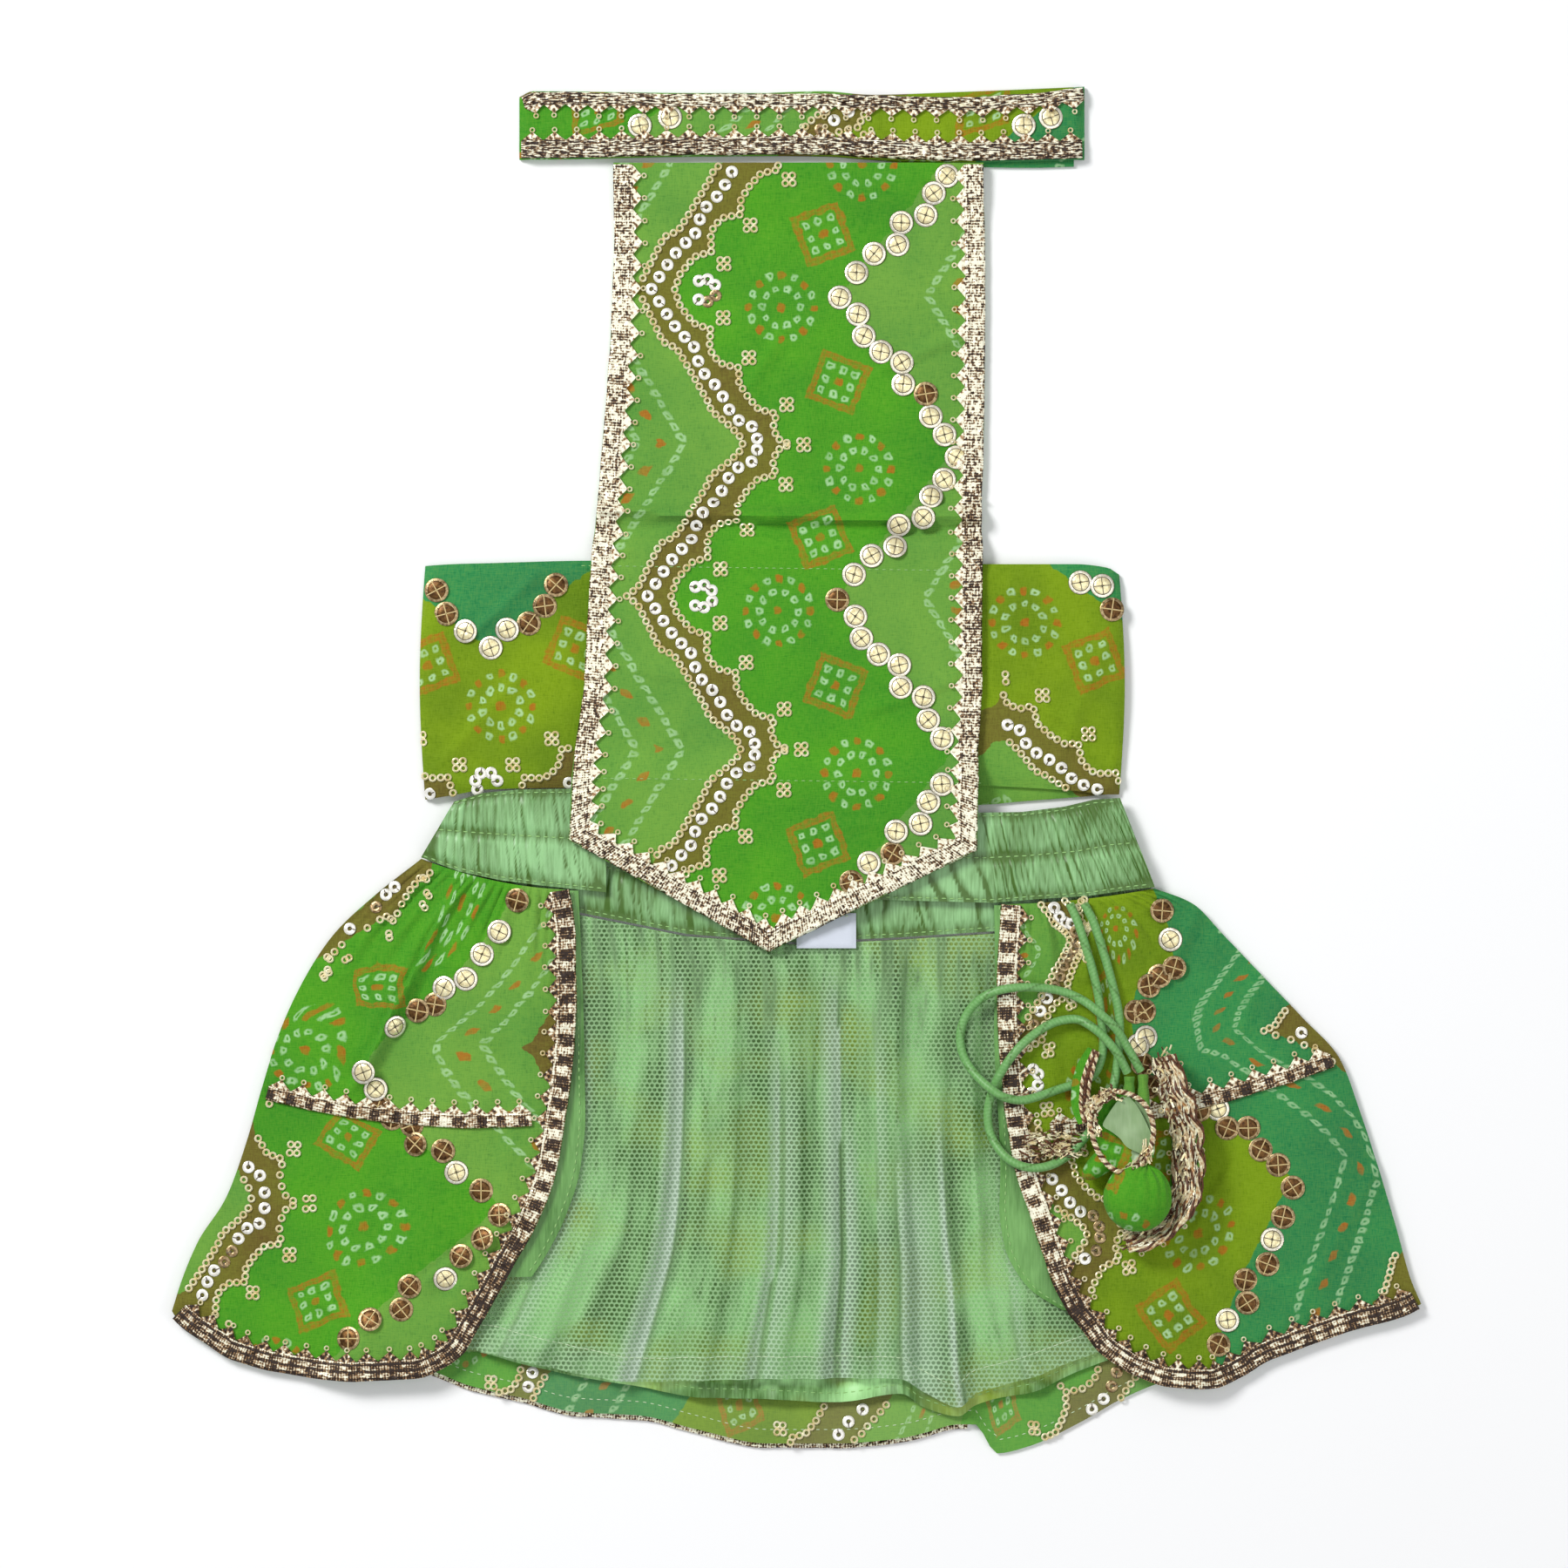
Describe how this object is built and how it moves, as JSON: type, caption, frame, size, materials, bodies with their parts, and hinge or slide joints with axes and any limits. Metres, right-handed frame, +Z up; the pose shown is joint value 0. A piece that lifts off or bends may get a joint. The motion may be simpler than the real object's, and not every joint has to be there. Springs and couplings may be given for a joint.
{
  "type": "dog lehenga",
  "caption": "Dog lehenga laid flat: yoke panel on neck and belly bands, gathered waistband, open layered skirt with net, gota lace and a tasselled drawstring.",
  "frame": {"origin": "on the surface that the garment lies on, under the middle of its outline", "axes": "+Y from hem to neck, +X to the right of the laid-out garment seen from above, +Z up off the surface"},
  "size_m": [0.358, 0.392, 0.0218],
  "materials": {
    "printed_cloth": "matt printed georgette, tie-dye dots, worked with sequins",
    "satin": "soft satin, crosswise slubs, light green",
    "net": "open hexagonal net, pale green",
    "gota_lace": "woven metallic ribbon, pale gold over dark bronze",
    "label_tape": "white woven tape, blank"
  },
  "bodies": {
    "root": {"neck_band_back": "printed_cloth", "neck_band_front": "printed_cloth", "neck_lace_top": "gota_lace", "neck_lace_bottom": "gota_lace", "belly_band_back": "printed_cloth", "belly_band_front": "printed_cloth", "chest_panel": "printed_cloth", "panel_lace": "gota_lace", "waistband_back": "satin", "waistband_front_left": "satin", "waistband_front_right": "satin", "care_label": "label_tape", "skirt_back_outer": "printed_cloth", "back_hem_lace": "gota_lace", "skirt_lining": "satin", "skirt_net": "net", "front_facing_left": "satin", "front_facing_right": "satin", "front_outer_left": "printed_cloth", "front_outer_right": "printed_cloth", "border_lace_left": "gota_lace", "border_lace_right": "gota_lace", "middle_lace_left": "gota_lace", "middle_lace_right": "gota_lace", "drawstring_outer": "satin", "drawstring_inner": "satin", "tassel_head_front": "printed_cloth", "tassel_head_back": "printed_cloth", "tassel_ball_front": "printed_cloth", "tassel_ball_back": "printed_cloth", "tassel_cup_front": "gota_lace", "tassel_cup_back": "printed_cloth", "tassel_petal_left": "gota_lace"}
  },
  "joints": []
}
